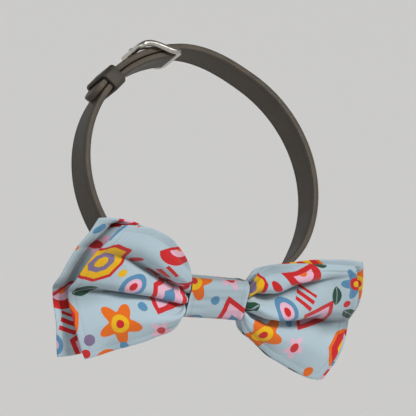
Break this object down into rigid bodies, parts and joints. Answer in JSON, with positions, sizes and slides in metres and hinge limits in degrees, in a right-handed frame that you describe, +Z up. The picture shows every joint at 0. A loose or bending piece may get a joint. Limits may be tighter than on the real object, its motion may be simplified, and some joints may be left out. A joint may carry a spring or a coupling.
{
  "type": "bow tie collar",
  "caption": "Pet collar: a buckled leather strap with a gathered two-layer printed cloth bow tie pinched to its front by a cloth band.",
  "frame": {"origin": "middle of the neck loop", "axes": "+X along the bow, to the viewer's right as the bow faces the viewer; -Y the front, where the bow is; +Z up. The neck loop leans 50 degrees about X, low at the front and high at the back, as it is worn"},
  "size_m": [0.1277, 0.0845, 0.1121],
  "materials": {
    "front_cloth": "matt printed cotton",
    "rear_cloth": "matt printed cotton",
    "band_cloth": "matt printed cotton",
    "strap_leather": "smooth, low sheen",
    "keeper_leather": "smooth, low sheen",
    "buckle_metal": "satin"
  },
  "bodies": {
    "root": {"front_bow": "front_cloth", "rear_bow": "rear_cloth", "knot_band": "band_cloth", "collar_strap": "strap_leather", "buckle": "buckle_metal", "keeper_loop": "keeper_leather"}
  },
  "joints": []
}
